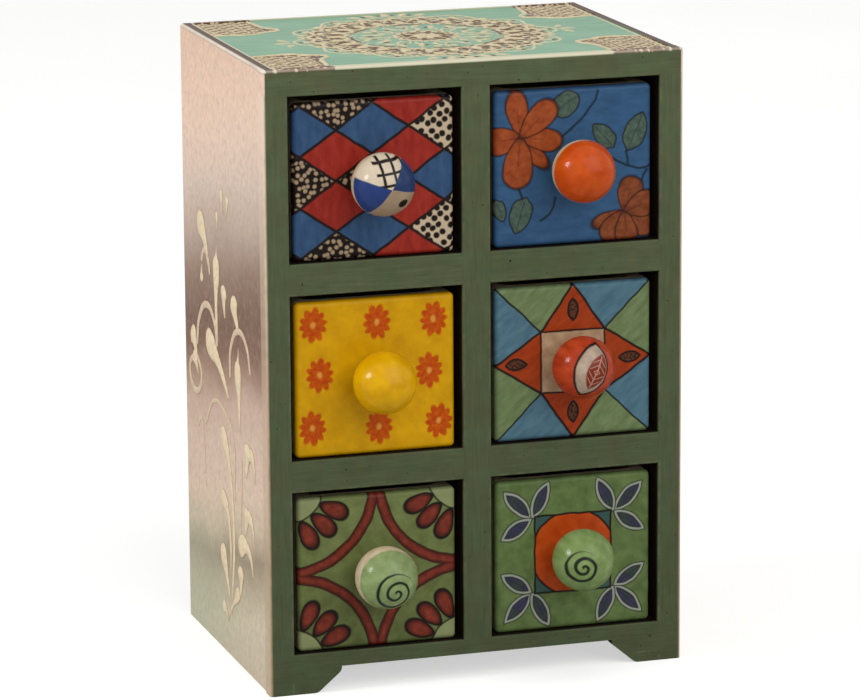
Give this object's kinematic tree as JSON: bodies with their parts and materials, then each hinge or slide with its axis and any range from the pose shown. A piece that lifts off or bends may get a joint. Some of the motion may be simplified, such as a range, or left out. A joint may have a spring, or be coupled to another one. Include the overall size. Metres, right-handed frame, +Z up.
{
  "type": "jewellery chest of drawers",
  "caption": "Small upright jewellery chest: a painted wooden carcass whose glazed ceramic drawers slide out by round ceramic knobs.",
  "frame": {"origin": "on the standing surface, under the middle of the chest's outline with its knobs", "axes": "+X to the right as seen from the front, -Y out of the drawer fronts, +Z up"},
  "size_m": [0.155, 0.1352, 0.225],
  "materials": {
    "top_paint": "mint paint with raised cream and brown ornament",
    "side_paint": "washed cream, mauve and grey-green paint with raised vines",
    "front_paint": "rubbed sage green paint",
    "stained_wood": "dark stained wood",
    "steel": "plain steel",
    "harlequin_glaze": "glossy painted glaze",
    "harlequin_knob_glaze": "glossy painted glaze",
    "floral_blue_glaze": "glossy painted glaze",
    "floral_blue_knob_glaze": "glossy painted glaze",
    "flowered_yellow_glaze": "glossy painted glaze",
    "flowered_yellow_knob_glaze": "glossy painted glaze",
    "star_glaze": "glossy painted glaze",
    "star_knob_glaze": "glossy painted glaze",
    "arched_green_glaze": "glossy painted glaze",
    "arched_green_knob_glaze": "glossy painted glaze",
    "leafy_green_glaze": "glossy painted glaze",
    "leafy_green_knob_glaze": "glossy painted glaze"
  },
  "bodies": {
    "cabinet": {"top_board": "top_paint", "left_side_board": "side_paint", "right_side_board": "side_paint", "centre_divider": "stained_wood", "bottom_board": "stained_wood", "back_board": "stained_wood", "back_brads": "steel", "left_stile": "front_paint", "right_stile": "front_paint", "centre_stile": "front_paint", "bottom_rail": "front_paint", "left_foot": "front_paint", "right_foot": "front_paint", "upper_left_shelf": "stained_wood", "upper_left_rail": "front_paint", "upper_right_shelf": "stained_wood", "upper_right_rail": "front_paint", "lower_left_shelf": "stained_wood", "lower_left_rail": "front_paint", "lower_right_shelf": "stained_wood", "lower_right_rail": "front_paint"},
    "upper_left_drawer_unit": {"upper_left_drawer": "harlequin_glaze", "upper_left_knob": "harlequin_knob_glaze", "upper_left_knob_stud": "steel", "upper_left_knob_washer": "steel", "upper_left_knob_nut": "steel"},
    "upper_right_drawer_unit": {"upper_right_drawer": "floral_blue_glaze", "upper_right_knob": "floral_blue_knob_glaze", "upper_right_knob_stud": "steel", "upper_right_knob_washer": "steel", "upper_right_knob_nut": "steel"},
    "middle_left_drawer_unit": {"middle_left_drawer": "flowered_yellow_glaze", "middle_left_knob": "flowered_yellow_knob_glaze", "middle_left_knob_stud": "steel", "middle_left_knob_washer": "steel", "middle_left_knob_nut": "steel"},
    "middle_right_drawer_unit": {"middle_right_drawer": "star_glaze", "middle_right_knob": "star_knob_glaze", "middle_right_knob_stud": "steel", "middle_right_knob_washer": "steel", "middle_right_knob_nut": "steel"},
    "lower_left_drawer_unit": {"lower_left_drawer": "arched_green_glaze", "lower_left_knob": "arched_green_knob_glaze", "lower_left_knob_stud": "steel", "lower_left_knob_washer": "steel", "lower_left_knob_nut": "steel"},
    "lower_right_drawer_unit": {"lower_right_drawer": "leafy_green_glaze", "lower_right_knob": "leafy_green_knob_glaze", "lower_right_knob_stud": "steel", "lower_right_knob_washer": "steel", "lower_right_knob_nut": "steel"}
  },
  "joints": [
    {"name": "upper_left_drawer_slide", "type": "slide", "parent": "cabinet", "child": "upper_left_drawer_unit", "axis": [0, -1, 0], "range_m": [0, 0.08]},
    {"name": "upper_right_drawer_slide", "type": "slide", "parent": "cabinet", "child": "upper_right_drawer_unit", "axis": [0, -1, 0], "range_m": [0, 0.08]},
    {"name": "middle_left_drawer_slide", "type": "slide", "parent": "cabinet", "child": "middle_left_drawer_unit", "axis": [0, -1, 0], "range_m": [0, 0.08]},
    {"name": "middle_right_drawer_slide", "type": "slide", "parent": "cabinet", "child": "middle_right_drawer_unit", "axis": [0, -1, 0], "range_m": [0, 0.08]},
    {"name": "lower_left_drawer_slide", "type": "slide", "parent": "cabinet", "child": "lower_left_drawer_unit", "axis": [0, -1, 0], "range_m": [0, 0.08]},
    {"name": "lower_right_drawer_slide", "type": "slide", "parent": "cabinet", "child": "lower_right_drawer_unit", "axis": [0, -1, 0], "range_m": [0, 0.08]}
  ]
}
